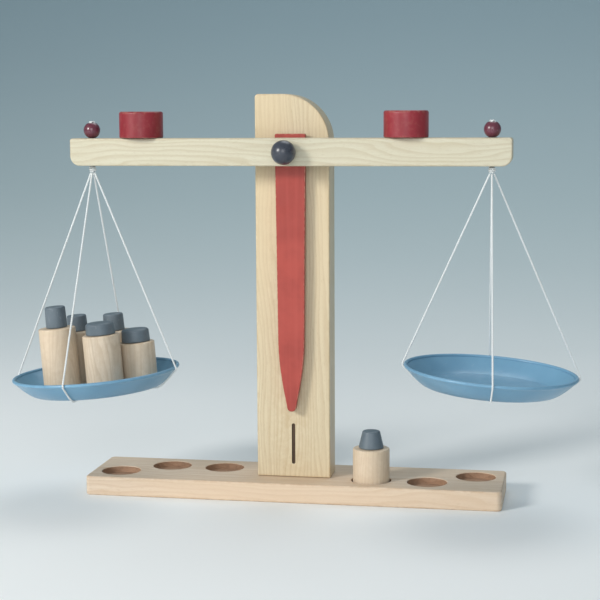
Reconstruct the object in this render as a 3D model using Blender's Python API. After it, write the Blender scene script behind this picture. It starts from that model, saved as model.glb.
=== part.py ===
"""Two-pan beam balance: a base board with six round recesses, an upright board
with one rounded shoulder, a beam with a long pointer that turns on an axle in
the upright, a sliding trim weight on each arm, a dish hung on cords from each
beam end, and six wooden weights with knobs.

Metres, +Z up, +X to the right, the front faces -Y.
The origin is the middle of the base board's underside.
"""

import math

import bmesh
import bpy
from mathutils import Matrix, Vector

# ----------------------------------------------------------- driving dimensions
GAP = 0.0003                      # between pieces that touch

BASE_LENGTH = 0.390
BASE_DEPTH = 0.085
BASE_THICK = 0.018
BASE_CORNER = 0.005               # plan radius of the board's corners
BASE_EDGE = 0.0016                # softened edge

RECESS_R = 0.0185
RECESS_DEEP = 0.006
RECESS_ROW = 0.014                # front and rear rows, each side of the centre line
RECESS_X = (0.073, 0.125, 0.168)

POST_WIDE = 0.069
POST_THICK = 0.030
POST_TOP = 0.374
POST_SHOULDER = 0.044             # radius of the rounded shoulder, on the right
TENON = (0.040, 0.016, 0.012)
INDEX_LOW, INDEX_HIGH = 0.031, 0.069
INDEX_WIDE, INDEX_DEEP = 0.0028, 0.0010

PIVOT_Z = 0.322
AXLE_R = 0.0040
AXLE_BORE = 0.0043
AXLE_IN_POST = 0.018
SPACER_THICK = 0.003
SPACER_R = 0.011
POINTER_THICK = 0.006
POINTER_TOP, POINTER_TIP = 0.338, 0.082
POINTER_HALF_TOP, POINTER_HALF_NECK, POINTER_TIP_R = 0.0142, 0.0122, 0.0042
POINTER_NECK_Z = 0.150

BEAM_LENGTH = 0.402
BEAM_HIGH = 0.025
BEAM_DEEP = 0.022
BEAM_LOWER_CORNER = 0.009
HOLE_X = 0.183                    # cord holes, from the pivot
HOLE_R = 0.0038
BALL_R = 0.011                    # knob on the axle's front end

TRIM_R = 0.020
TRIM_HIGH = 0.0238
TRIM_SLOT_X = 0.1215              # middle of each slot
TRIM_TRAVEL = 0.018               # each way from the slot's middle
TRIM_AT = (-0.1360, 0.1070)
PEG_R = 0.0040
SLOT_HALF = 0.0043
SLOT_DEEP = 0.012

BEAD_R = 0.0076
CORD_R = 0.0009

PAN_R = 0.078
PAN_DEEP = 0.0175
PAN_FLOOR_R = 0.059
PAN_WALL = 0.0020
PAN_LIP = 0.0016
PAN_RIM_Z = (0.1180, 0.1285)                           # left and right dish
PAN_TILT = (math.radians(-4.6), math.radians(4.3))     # left side low, right side low
PAN_SHIFT = ((-0.00113, 0.00032), (0.00091, 0.0000))   # rim centre, from under the hole
STRAND_AT = (math.radians(266.0), math.radians(274.5))  # front strand's direction in plan

WEIGHT_R = 0.0170
STUD_R, STUD_BORE, STUD_LONG = 0.0040, 0.0043, 0.0090

# name, place on the dish floor, body height, knob (kind, radius, top radius, height)
PAN_WEIGHTS = (
    ("weight_1", (-0.0275, -0.0185), 0.060, ("barrel", 0.0098, 0.0094, 0.0195)),
    ("weight_2", (0.0165, -0.0255), 0.052, ("disc", 0.0135, 0.0130, 0.0110)),
    ("weight_3", (0.0410, 0.0015), 0.040, ("disc", 0.0132, 0.0127, 0.0120)),
    ("weight_4", (-0.0215, 0.0215), 0.051, ("barrel", 0.0098, 0.0092, 0.0150)),
    ("weight_5", (0.0135, 0.0250), 0.049, ("barrel", 0.0100, 0.0094, 0.0160)),
)
BASE_WEIGHT = ("weight_6", 0.036, ("cone", 0.0118, 0.0080, 0.0160))

# ------------------------------------------------------ places worked out from them
POST_FRONT = -POST_THICK / 2
SPACER_Y = (POST_FRONT - GAP - SPACER_THICK, POST_FRONT - GAP)
POINTER_Y = (SPACER_Y[0] - GAP - POINTER_THICK, SPACER_Y[0] - GAP)
BEAM_Y = (POINTER_Y[0] - GAP - BEAM_DEEP, POINTER_Y[0] - GAP)
BEAM_MID = (BEAM_Y[0] + BEAM_Y[1]) / 2
BEAM_TOP = PIVOT_Z + BEAM_HIGH / 2
BEAM_LOW = PIVOT_Z - BEAM_HIGH / 2
KNOB_BACK = BEAM_Y[0] - 0.0005
HANG_Z = BEAM_LOW + 0.0003        # where each set of cords leaves the beam, at the hole's mouth
SWING_Z = HANG_Z - 0.0064         # where each dish swings, at the foot of its gathering knot
PIVOT = Vector((0.0, BEAM_MID, PIVOT_Z))


# ---------------------------------------------------------------------- helpers
def clear_scene():
    for ob in list(bpy.data.objects):
        bpy.data.objects.remove(ob, do_unlink=True)


def finish_of(name, colour, rough, metal=0.0):
    mat = bpy.data.materials.new(name)
    mat.use_nodes = True
    bsdf = mat.node_tree.nodes["Principled BSDF"]
    bsdf.inputs["Base Color"].default_value = (*colour, 1.0)
    bsdf.inputs["Roughness"].default_value = rough
    bsdf.inputs["Metallic"].default_value = metal
    mat.diffuse_color = (*colour, 1.0)
    return mat


def world_place(ob):
    """An object's place in the world, through parents that are not turned."""
    at = Vector(ob.location)
    while ob.parent is not None:
        ob = ob.parent
        at += Vector(ob.location)
    return at


def empty(name, at, parent=None):
    ob = bpy.data.objects.new(name, None)
    ob.empty_display_size = 0.02
    bpy.context.scene.collection.objects.link(ob)
    if parent is not None:
        ob.parent = parent
        ob.location = Vector(at) - world_place(parent)
    else:
        ob.location = at
    return ob


def put(ob, origin, parent=None, turn=(0.0, 0.0, 0.0)):
    bpy.context.scene.collection.objects.link(ob)
    ob.rotation_euler = turn
    if parent is not None:
        ob.parent = parent
        ob.location = Vector(origin) - world_place(parent)
    else:
        ob.location = origin
    return ob


def mesh_object(name, bm, mat=None, smooth_deg=None):
    bmesh.ops.recalc_face_normals(bm, faces=bm.faces)
    mesh = bpy.data.meshes.new(name)
    bm.to_mesh(mesh)
    bm.free()
    if smooth_deg:
        mesh.shade_smooth()
        mesh.set_sharp_from_angle(angle=math.radians(smooth_deg))
    ob = bpy.data.objects.new(name, mesh)
    if mat is not None:
        mesh.materials.append(mat)
    return ob


def turned(name, outline, sides, mat=None, axis="Z", closed=False, smooth_deg=40):
    """A turned piece: an outline of (radius, height) points swept round the axis.
    An open outline starts and ends on the axis, and a closed one goes round a hole."""
    bm = bmesh.new()
    rings = []
    for r, z in outline:
        if r < 1e-7:
            rings.append([bm.verts.new((0.0, 0.0, z))])
        else:
            rings.append([
                bm.verts.new((r * math.cos(2 * math.pi * k / sides),
                              r * math.sin(2 * math.pi * k / sides), z))
                for k in range(sides)
            ])
    pairs = [(rings[i], rings[i + 1]) for i in range(len(rings) - 1)]
    if closed:
        pairs.append((rings[-1], rings[0]))
    for a, b in pairs:
        for k in range(sides):
            n = (k + 1) % sides
            if len(a) == 1 and len(b) == 1:
                continue
            if len(a) == 1:
                bm.faces.new((a[0], b[k], b[n]))
            elif len(b) == 1:
                bm.faces.new((a[k], a[n], b[0]))
            else:
                bm.faces.new((a[k], a[n], b[n], b[k]))
    if axis == "-Y":                                  # heights run towards the front
        bmesh.ops.transform(bm, matrix=Matrix.Rotation(math.radians(90), 4, "X"), verts=bm.verts)
    return mesh_object(name, bm, mat, smooth_deg)


def prism(name, outline, low, high, along, mat=None, smooth_deg=None):
    """A straight-sided piece: a flat outline carried from low to high along Y or Z."""
    bm = bmesh.new()

    def at(u, v, w):
        return (u, w, v) if along == "Y" else (u, v, w)

    a = [bm.verts.new(at(u, v, low)) for u, v in outline]
    b = [bm.verts.new(at(u, v, high)) for u, v in outline]
    bm.faces.new(a)
    bm.faces.new(list(reversed(b)))
    for k in range(len(outline)):
        n = (k + 1) % len(outline)
        bm.faces.new((a[k], a[n], b[n], b[k]))
    return mesh_object(name, bm, mat, smooth_deg)


def arc(cx, cy, r, start_deg, end_deg, steps):
    return [
        (cx + r * math.cos(math.radians(start_deg + (end_deg - start_deg) * k / steps)),
         cy + r * math.sin(math.radians(start_deg + (end_deg - start_deg) * k / steps)))
        for k in range(steps + 1)
    ]


def rounded_box(x0, x1, y0, y1, radii, steps):
    """An outline with a radius at each corner: lower right, upper right, upper left, lower left."""
    lr, ur, ul, ll = radii
    return (
        arc(x1 - lr, y0 + lr, lr, -90, 0, steps[0])
        + arc(x1 - ur, y1 - ur, ur, 0, 90, steps[1])
        + arc(x0 + ul, y1 - ul, ul, 90, 180, steps[2])
        + arc(x0 + ll, y0 + ll, ll, 180, 270, steps[3])
    )


def soften(ob, width, segments=2, angle=50):
    mod = ob.modifiers.new("softened_edges", "BEVEL")
    mod.width = width
    mod.segments = segments
    mod.limit_method = "ANGLE"
    mod.angle_limit = math.radians(angle)
    mod.use_clamp_overlap = True


def boolean(ob, tool, kind):
    mod = ob.modifiers.new(tool.name, "BOOLEAN")
    mod.operation = kind
    mod.solver = "EXACT"
    mod.object = tool
    tool.hide_render = True
    tool.display_type = "WIRE"


def join_forms(name, forms):
    """Several separate closed forms as one cutter."""
    bm = bmesh.new()
    for form in forms:
        start = len(bm.verts)
        bm.from_mesh(form.data)
        bm.verts.ensure_lookup_table()
        bmesh.ops.transform(bm, matrix=Matrix.Translation(form.location),
                            verts=bm.verts[start:])
        bpy.data.objects.remove(form, do_unlink=True)
    mesh = bpy.data.meshes.new(name)
    bm.to_mesh(mesh)
    bm.free()
    return bpy.data.objects.new(name, mesh)


def form_at(ob, at):
    ob.location = at
    return ob


def rod_outline(r, low, high, soft=0.0006):
    return [(0.0, low), (r - soft, low), (r, low + soft), (r, high - soft), (r - soft, high), (0.0, high)]


# --------------------------------------------------------------------- finishes
clear_scene()
PALE_WOOD = finish_of("pale_wood", (0.72, 0.58, 0.40), 0.55)
BASE_WOOD = finish_of("base_wood", (0.70, 0.54, 0.36), 0.55)
WEIGHT_WOOD = finish_of("weight_wood", (0.70, 0.56, 0.40), 0.55)
RED_PAINT = finish_of("red_paint", (0.42, 0.075, 0.055), 0.45)
TRIM_RED = finish_of("trim_red", (0.36, 0.055, 0.065), 0.42)
BEAD_MAROON = finish_of("bead_maroon", (0.16, 0.030, 0.045), 0.40)
SLATE_KNOB = finish_of("slate_knob", (0.095, 0.115, 0.150), 0.40)
GREY_BLUE = finish_of("grey_blue_knob", (0.13, 0.19, 0.24), 0.45)
PAN_BLUE = finish_of("pan_blue", (0.17, 0.36, 0.52), 0.35)
WHITE_CORD = finish_of("white_cord", (0.74, 0.78, 0.78), 0.85)
STEEL = finish_of("axle_steel", (0.55, 0.55, 0.56), 0.30, 1.0)

# ------------------------------------------------------------------- base board
base = prism(
    "base_board",
    rounded_box(-BASE_LENGTH / 2, BASE_LENGTH / 2, -BASE_DEPTH / 2, BASE_DEPTH / 2,
                (BASE_CORNER,) * 4, (4, 4, 4, 4)),
    0.0, BASE_THICK, "Z", BASE_WOOD, 40,
)
put(base, (0.0, 0.0, 0.0))
soften(base, BASE_EDGE, 2)

RECESSES = (
    [(-RECESS_X[2], -RECESS_ROW), (-RECESS_X[1], RECESS_ROW), (-RECESS_X[0], RECESS_ROW)]
    + [(RECESS_X[0], -RECESS_ROW), (RECESS_X[1], -RECESS_ROW), (RECESS_X[2], RECESS_ROW)]
)
forms = [
    form_at(turned("recess_form", rod_outline(RECESS_R, BASE_THICK - RECESS_DEEP, BASE_THICK + 0.004), 32),
            (x, y, 0.0))
    for x, y in RECESSES
]
mortise = prism(
    "mortise_form",
    rounded_box(-TENON[0] / 2 - GAP, TENON[0] / 2 + GAP, -TENON[1] / 2 - GAP, TENON[1] / 2 + GAP,
                (0.002,) * 4, (2, 2, 2, 2)),
    BASE_THICK - TENON[2] - GAP, BASE_THICK + 0.004, "Z",
)
base_cuts = join_forms("base_cuts", forms + [mortise])
put(base_cuts, (0.0, 0.0, 0.0))
boolean(base, base_cuts, "DIFFERENCE")

# ---------------------------------------------------------------------- upright
upright = prism(
    "upright",
    rounded_box(-POST_WIDE / 2, POST_WIDE / 2, BASE_THICK + GAP, POST_TOP,
                (0.0004, POST_SHOULDER, 0.0016, 0.0004), (1, 14, 2, 1)),
    -POST_THICK / 2, POST_THICK / 2, "Y", PALE_WOOD, 40,
)
put(upright, (0.0, 0.0, 0.0))
soften(upright, 0.0010, 2)
tenon = prism(
    "tenon_form",
    rounded_box(-TENON[0] / 2, TENON[0] / 2, -TENON[1] / 2, TENON[1] / 2, (0.002,) * 4, (2, 2, 2, 2)),
    BASE_THICK - TENON[2], BASE_THICK + 0.006, "Z",
)
put(tenon, (0.0, 0.0, 0.0))
boolean(upright, tenon, "UNION")
post_bore = form_at(
    turned("bore_form", rod_outline(AXLE_BORE, -POST_FRONT - AXLE_IN_POST, -POST_FRONT + 0.004), 16, axis="-Y"),
    (0.0, 0.0, PIVOT_Z),
)
index_cut = prism(
    "index_form",
    rounded_box(-INDEX_WIDE / 2, INDEX_WIDE / 2, INDEX_LOW, INDEX_HIGH, (0.0009,) * 4, (2, 2, 2, 2)),
    POST_FRONT - 0.002, POST_FRONT + INDEX_DEEP, "Y",
)
post_cuts = join_forms("post_cuts", [post_bore, index_cut])
put(post_cuts, (0.0, 0.0, 0.0))
boolean(upright, post_cuts, "DIFFERENCE")

# --------------------------------------------------------- axle, knob and spacer
axle = turned("pivot_axle", rod_outline(AXLE_R, 0.0, KNOB_BACK * -1 + 0.0105 - POST_FRONT * -1 + AXLE_IN_POST - GAP),
              16, STEEL, axis="-Y")
put(axle, (0.0, POST_FRONT + AXLE_IN_POST - GAP, PIVOT_Z))

spacer = turned(
    "pivot_spacer",
    [(AXLE_BORE, 0.0), (SPACER_R - 0.0004, 0.0), (SPACER_R, 0.0004),
     (SPACER_R, SPACER_THICK - 0.0004), (SPACER_R - 0.0004, SPACER_THICK), (AXLE_BORE, SPACER_THICK)],
    24, PALE_WOOD, axis="-Y", closed=True,
)
put(spacer, (0.0, SPACER_Y[1], PIVOT_Z))

flat = 0.0066                                       # radius of the ball's flat back
drop = math.sqrt(BALL_R ** 2 - flat ** 2)           # its centre, from that back
ball_outline = [(0.0, 0.0108), (AXLE_BORE, 0.0108), (AXLE_BORE, 0.0)]
first = math.degrees(math.asin(-drop / BALL_R))
ball_outline += [(r, z) for r, z in arc(0.0, drop, BALL_R, first, 90, 10)][:-1]
ball_outline.append((0.0, drop + BALL_R))
ball = turned("pivot_knob", ball_outline, 24, SLATE_KNOB, axis="-Y", smooth_deg=50)
put(ball, (0.0, KNOB_BACK, PIVOT_Z))

# ------------------------------------------------------------- beam and pointer
beam_turn = empty("beam_turn", PIVOT)
beam = prism(
    "beam",
    rounded_box(-BEAM_LENGTH / 2, BEAM_LENGTH / 2, -BEAM_HIGH / 2, BEAM_HIGH / 2,
                (BEAM_LOWER_CORNER, 0.0020, 0.0020, BEAM_LOWER_CORNER), (5, 2, 2, 5)),
    -BEAM_DEEP / 2, BEAM_DEEP / 2, "Y", PALE_WOOD, 40,
)
put(beam, PIVOT, beam_turn)
soften(beam, 0.0010, 2, 40)
forms = [form_at(turned("axle_form", rod_outline(AXLE_BORE, -0.02, 0.02), 16, axis="-Y"), (0, 0, 0))]
for side in (-1, 1):
    forms.append(form_at(turned("cord_form", rod_outline(HOLE_R, -0.02, 0.02), 16), (side * HOLE_X, 0, 0)))
    reach = TRIM_TRAVEL + SLOT_HALF
    slot = (arc(side * TRIM_SLOT_X + TRIM_TRAVEL, 0, SLOT_HALF, -90, 90, 6)
            + arc(side * TRIM_SLOT_X - TRIM_TRAVEL, 0, SLOT_HALF, 90, 270, 6))
    forms.append(prism("slot_form", slot, BEAM_HIGH / 2 - SLOT_DEEP, BEAM_HIGH / 2 + 0.004, "Z"))
beam_cuts = join_forms("beam_cuts", forms)
put(beam_cuts, PIVOT, beam_turn)
boolean(beam, beam_cuts, "DIFFERENCE")

# straight sides down to the neck, then a full curve in to the round tip
tip_z = POINTER_TIP + POINTER_TIP_R
flank = [
    (POINTER_TIP_R + (POINTER_HALF_NECK - POINTER_TIP_R) * math.sin(math.pi / 2 * k / 8),
     tip_z + (POINTER_NECK_Z - tip_z) * k / 8 - PIVOT_Z)
    for k in range(1, 9)
]
pointer_outline = (
    flank + [(POINTER_HALF_TOP, POINTER_TOP - PIVOT_Z), (-POINTER_HALF_TOP, POINTER_TOP - PIVOT_Z)]
    + [(-u, v) for u, v in reversed(flank)]
    + arc(0.0, tip_z - PIVOT_Z, POINTER_TIP_R, 191, 349, 8)
)
pointer = prism("pointer", pointer_outline, POINTER_Y[0] - BEAM_MID, POINTER_Y[1] - BEAM_MID,
                "Y", RED_PAINT, 30)
put(pointer, PIVOT, beam_turn)
soften(pointer, 0.0006, 2, 50)
pointer_cut = turned("pointer_cut", rod_outline(AXLE_BORE, BEAM_DEEP / 2 * -1 - 0.010, 0.010), 16, axis="-Y")
put(pointer_cut, PIVOT, beam_turn)
boolean(pointer, pointer_cut, "DIFFERENCE")

# ------------------------------------------------------------------ trim weights
for side, at in zip(("left", "right"), TRIM_AT):
    z0, soft = BEAM_TOP + GAP, 0.0020
    rise = empty(f"{side}_trim_slide", (at, BEAM_MID, BEAM_TOP), beam_turn)
    outline = [(0.0, 0.010), (STUD_BORE, 0.010), (STUD_BORE, 0.0), (TRIM_R - 0.001, 0.0), (TRIM_R, 0.001)]
    outline += arc(TRIM_R - soft, TRIM_HIGH - soft, soft, 0, 90, 3)
    outline.append((0.0, TRIM_HIGH))
    put(turned(f"{side}_trim", outline, 36, TRIM_RED), (at, BEAM_MID, z0), rise)
    put(turned(f"{side}_trim_peg", rod_outline(PEG_R, -SLOT_DEEP + 0.0015, 0.010 - GAP), 16, PALE_WOOD),
        (at, BEAM_MID, z0), rise)


# ------------------------------------------------------------ dishes, cords, beads
def dish_wall():
    """Points up the dish's outer wall and the directions square to it, in (radius, height)."""
    points = []
    for k in range(7):
        t = k / 6
        r = PAN_FLOOR_R + (PAN_R - 0.001 - PAN_FLOOR_R) * t
        z = -PAN_DEEP + (PAN_DEEP - 0.0026) * t ** 1.35
        slope = (PAN_DEEP - 0.0026) * 1.35 * t ** 0.35 / (PAN_R - 0.001 - PAN_FLOOR_R)
        size = math.hypot(slope, 1.0)
        points.append(((r, z), (slope / size, -1.0 / size)))
    return points


LIP = (PAN_R - PAN_LIP, -PAN_LIP)                    # centre of the rolled rim


def dish_outline():
    outer, inner = [], []
    for (r, z), (nr, nz) in dish_wall():
        ri, zi = r - nr * PAN_WALL, z - nz * PAN_WALL
        if math.dist((r, z), LIP) > PAN_LIP * 1.15:
            outer.append((r, z))
        if math.dist((ri, zi), LIP) > PAN_LIP * 1.15:
            inner.append((ri, zi))
    rim = arc(LIP[0], LIP[1], PAN_LIP, -62, 212, 7)
    return [(0.0, -PAN_DEEP)] + outer + rim + inner[::-1] + [(0.0, -PAN_DEEP + PAN_WALL)]


def cord_route(leaves, heading, under):
    """One cord in the dish's frame: from the knot down to the rim, round the rolled rim, down
    the outer wall, across the underside and up the other side to the knot. It lies against the
    dish, and the cord that crosses below the other dips as it passes under it."""
    off = CORD_R + GAP
    halves = []
    for turn, start in ((0.0, leaves[0]), (math.pi, leaves[1])):
        u = Vector((math.cos(heading + turn), math.sin(heading + turn), 0.0))
        reach, high = start.dot(u), start.z
        d = math.dist((reach, high), LIP)
        aim = math.atan2(LIP[1] - high, LIP[0] - reach)
        touch = math.degrees(aim + math.acos(-(PAN_LIP + off) / d))
        half = [Vector(start)]
        for r, z in arc(LIP[0], LIP[1], PAN_LIP + off, touch, -38, 6):
            half.append(u * r + Vector((0, 0, z)))
        for (r, z), (nr, nz) in dish_wall()[4::-1]:
            half.append(u * (r + nr * off) + Vector((0, 0, z + nz * off)))
        low = -PAN_DEEP - off
        dip = (2 * CORD_R + GAP) if under else 0.0
        for r, share in ((0.040, 0.0), (0.018, 0.0), (0.010, 0.45), (0.005, 1.0)):
            half.append(u * r + Vector((0, 0, low - dip * share)))
        halves.append(half)
    middle = Vector((0, 0, -PAN_DEEP - off - ((2 * CORD_R + GAP) if under else 0.0)))
    return halves[0] + [middle] + halves[1][::-1]


def cord_object(name, points, mat):
    curve = bpy.data.curves.new(name, "CURVE")
    curve.dimensions = "3D"
    curve.bevel_depth = CORD_R
    curve.bevel_resolution = 1
    curve.use_fill_caps = True
    spline = curve.splines.new("POLY")
    spline.points.add(len(points) - 1)
    for p, q in zip(spline.points, points):
        p.co = (*q, 1.0)
    curve.materials.append(mat)
    return bpy.data.objects.new(name, curve)


hangs = {}
for side, sign, rim_z, tilt, shift, heading in zip(
        ("left", "right"), (-1, 1), PAN_RIM_Z, PAN_TILT, PAN_SHIFT, STRAND_AT):
    x = sign * HOLE_X
    hang = Vector((x, BEAM_MID, HANG_Z))

    # bead on the beam over the cord hole, with the cord's end knot seated in its top
    low = -0.0070
    up = math.degrees(math.asin(low / BEAD_R))
    outline = [(0.0026, 0.0042), (0.0026, low)]
    outline += arc(0.0, 0.0, BEAD_R, up, math.degrees(math.acos(0.0040 / BEAD_R)), 8)
    outline += [(0.0038, 0.0060), (0.0038, 0.0042)]
    bead_at = BEAM_TOP + GAP - low
    put(turned(f"{side}_bead", outline, 24, BEAD_MAROON, closed=True, smooth_deg=50),
        (x, BEAM_MID, bead_at), beam_turn)

    knot_r = 0.0032
    seat = 0.0042 + GAP
    shaft = 0.0022
    start = math.degrees(math.asin(-0.0020 / knot_r))
    middle = seat + 0.0020
    outline = [(0.0, HANG_Z + 0.0062 - bead_at), (shaft, HANG_Z + 0.0062 - bead_at), (shaft, seat)]
    outline += arc(0.0, middle, knot_r, start, 90, 5)[:-1]
    outline.append((0.0, middle + knot_r))
    put(turned(f"{side}_end_knot", outline, 12, WHITE_CORD, smooth_deg=50),
        (x, BEAM_MID, bead_at), beam_turn)

    # cords at the hole's mouth, then the knot that gathers the four strands
    plumb = empty(f"{side}_plumb", hang, beam_turn)
    put(turned(f"{side}_throat_cord", rod_outline(0.0019, 0.0005, 0.0050, 0.0004), 12, WHITE_CORD),
        hang, plumb)
    foot_of_knot = Vector((x, BEAM_MID, SWING_Z))
    swing = empty(f"{side}_swing", foot_of_knot, plumb)
    put(turned(f"{side}_gather_knot",
               [(0.0, -0.0002), (0.0018, -0.0002), (0.0029, -0.0014), (0.0034, -0.0030),
                (0.0033, -0.0048), (0.0028, -0.0064), (0.0, -0.0064)],
               12, WHITE_CORD, smooth_deg=50), hang, swing)

    # dish and its two crossing cords
    rock = empty(f"{side}_rock", foot_of_knot, swing)
    centre = Vector((x + shift[0], BEAM_MID + shift[1], rim_z))
    turn = Matrix.Rotation(tilt, 3, "Y")
    put(turned(f"{side}_pan", dish_outline(), 48, PAN_BLUE, smooth_deg=50), centre, rock, (0.0, tilt, 0.0))
    for n, name in enumerate(("cord_a", "cord_b")):
        way = heading + n * math.pi / 2
        leaves = []
        for back in (0.0, math.pi):
            out = Vector((math.cos(way + back), math.sin(way + back), 0.0)) * 0.0019
            leaves.append(turn.transposed() @ (hang + Vector((0, 0, -0.0076)) + out - centre))
        put(cord_object(f"{side}_{name}", cord_route(leaves, way, under=(n == 1)), WHITE_CORD),
            centre, rock, (0.0, tilt, 0.0))
    hangs[side] = (rock, centre, tilt, turn)


# ---------------------------------------------------------------------- weights
def weight_body(name, height):
    soft = 0.0012
    outline = [(0.0, 0.0), (WEIGHT_R - soft, 0.0), (WEIGHT_R, soft)]
    outline += arc(WEIGHT_R - soft, height - soft, soft, 0, 90, 2)
    outline += [(STUD_BORE, height), (STUD_BORE, height - STUD_LONG - GAP), (0.0, height - STUD_LONG - GAP)]
    return turned(name, outline, 28, WEIGHT_WOOD)


def weight_knob(name, height, knob):
    """A knob with its stud, which goes down into the body's bore."""
    kind, r, top_r, tall = knob
    z0 = height + GAP
    soft = 0.0028 if kind == "disc" else 0.0018
    outline = [(0.0, height - STUD_LONG), (STUD_R, height - STUD_LONG), (STUD_R, z0)]
    outline += [(r - 0.0008, z0), (r, z0 + 0.0008)]
    outline += arc(top_r - soft, z0 + tall - soft, soft, 0, 90, 3)
    outline.append((0.0, z0 + tall))
    return turned(name, outline, 20, GREY_BLUE)


rock, centre, tilt, turn = hangs["left"]
floor = -PAN_DEEP + PAN_WALL + GAP
for name, (px, py), height, knob in PAN_WEIGHTS:
    foot = centre + turn @ Vector((px, py, floor))
    lift = empty(f"{name}_lift", foot, rock)
    put(weight_body(name, height), foot, lift, (0.0, tilt, 0.0))
    put(weight_knob(f"{name}_knob", height, knob), foot, lift, (0.0, tilt, 0.0))

name, height, knob = BASE_WEIGHT
foot = Vector((RECESS_X[0], -RECESS_ROW, BASE_THICK - RECESS_DEEP + GAP))
lift = empty(f"{name}_lift", foot)
put(weight_body(name, height), foot, lift)
put(weight_knob(f"{name}_knob", height, knob), foot, lift)
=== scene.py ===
"""The looks of the two-pan beam balance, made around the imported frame.

Metres, in the frame's own axes: +X to the right along the beam, -Y out of the front, +Z up.
"""

import math

import bmesh
import bpy
import numpy as np
from mathutils import Matrix, Vector


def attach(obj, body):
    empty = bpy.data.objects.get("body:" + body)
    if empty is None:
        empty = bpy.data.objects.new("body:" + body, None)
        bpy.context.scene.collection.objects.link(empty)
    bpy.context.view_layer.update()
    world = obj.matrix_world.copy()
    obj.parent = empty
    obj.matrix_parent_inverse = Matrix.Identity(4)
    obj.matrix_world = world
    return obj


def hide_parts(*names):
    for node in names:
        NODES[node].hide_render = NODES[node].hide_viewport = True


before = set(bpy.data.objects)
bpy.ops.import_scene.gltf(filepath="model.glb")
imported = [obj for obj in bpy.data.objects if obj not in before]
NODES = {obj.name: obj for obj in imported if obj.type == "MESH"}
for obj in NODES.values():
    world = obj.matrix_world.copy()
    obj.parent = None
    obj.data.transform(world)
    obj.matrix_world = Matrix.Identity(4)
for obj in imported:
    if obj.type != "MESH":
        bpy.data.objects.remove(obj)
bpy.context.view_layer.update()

# ------------------------------------------------------- the frame's own dimensions
GAP = 0.0003
BASE_LENGTH, BASE_DEPTH, BASE_THICK = 0.390, 0.085, 0.018
BASE_CORNER, BASE_EDGE = 0.005, 0.0016
RECESS_R, RECESS_DEEP, RECESS_ROW = 0.0185, 0.006, 0.014
RECESS_X = (0.073, 0.125, 0.168)
POST_WIDE, POST_THICK, POST_TOP, POST_SHOULDER = 0.069, 0.030, 0.374, 0.044
TENON = (0.040, 0.016, 0.012)
INDEX_LOW, INDEX_HIGH, INDEX_WIDE, INDEX_DEEP = 0.031, 0.069, 0.0028, 0.0010
PIVOT_Z = 0.322
AXLE_BORE = 0.0043
SPACER_THICK, SPACER_R = 0.003, 0.011
POINTER_THICK, POINTER_TOP, POINTER_TIP = 0.006, 0.338, 0.082
POINTER_HALF_TOP, POINTER_HALF_NECK, POINTER_TIP_R, POINTER_NECK_Z = 0.0142, 0.0122, 0.0042, 0.150
BEAM_LENGTH, BEAM_HIGH, BEAM_DEEP, BEAM_LOWER_CORNER = 0.402, 0.025, 0.022, 0.009
HOLE_X, HOLE_R, BALL_R = 0.183, 0.0038, 0.011
TRIM_R, TRIM_HIGH, TRIM_SLOT_X, TRIM_TRAVEL = 0.020, 0.0238, 0.1215, 0.018
TRIM_AT = (-0.1360, 0.1070)
SLOT_HALF, SLOT_DEEP = 0.0043, 0.012
BEAD_R, CORD_R = 0.0076, 0.0009
PAN_R, PAN_DEEP, PAN_FLOOR_R, PAN_WALL, PAN_LIP = 0.078, 0.0175, 0.059, 0.0020, 0.0016
PAN_RIM_Z = (0.1180, 0.1285)
PAN_TILT = (math.radians(-4.6), math.radians(4.3))
PAN_SHIFT = ((-0.00113, 0.00032), (0.00091, 0.0000))
STRAND_AT = (math.radians(266.0), math.radians(274.5))
WEIGHT_R, STUD_R, STUD_BORE, STUD_LONG = 0.0170, 0.0040, 0.0043, 0.0090
PAN_WEIGHTS = (
    ("weight_1", (-0.0275, -0.0185), 0.060, ("barrel", 0.0098, 0.0094, 0.0195)),
    ("weight_2", (0.0165, -0.0255), 0.052, ("disc", 0.0135, 0.0130, 0.0110)),
    ("weight_3", (0.0410, 0.0015), 0.040, ("disc", 0.0132, 0.0127, 0.0120)),
    ("weight_4", (-0.0215, 0.0215), 0.051, ("barrel", 0.0098, 0.0092, 0.0150)),
    ("weight_5", (0.0135, 0.0250), 0.049, ("barrel", 0.0100, 0.0094, 0.0160)),
)
BASE_WEIGHT = ("weight_6", 0.036, ("cone", 0.0118, 0.0080, 0.0160))

POST_FRONT = -POST_THICK / 2
SPACER_Y = (POST_FRONT - GAP - SPACER_THICK, POST_FRONT - GAP)
POINTER_Y = (SPACER_Y[0] - GAP - POINTER_THICK, SPACER_Y[0] - GAP)
BEAM_Y = (POINTER_Y[0] - GAP - BEAM_DEEP, POINTER_Y[0] - GAP)
BEAM_MID = (BEAM_Y[0] + BEAM_Y[1]) / 2
BEAM_TOP, BEAM_LOW = PIVOT_Z + BEAM_HIGH / 2, PIVOT_Z - BEAM_HIGH / 2
KNOB_BACK = BEAM_Y[0] - 0.0005
HANG_Z = BEAM_LOW + 0.0003
PIVOT = Vector((0.0, BEAM_MID, PIVOT_Z))

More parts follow.
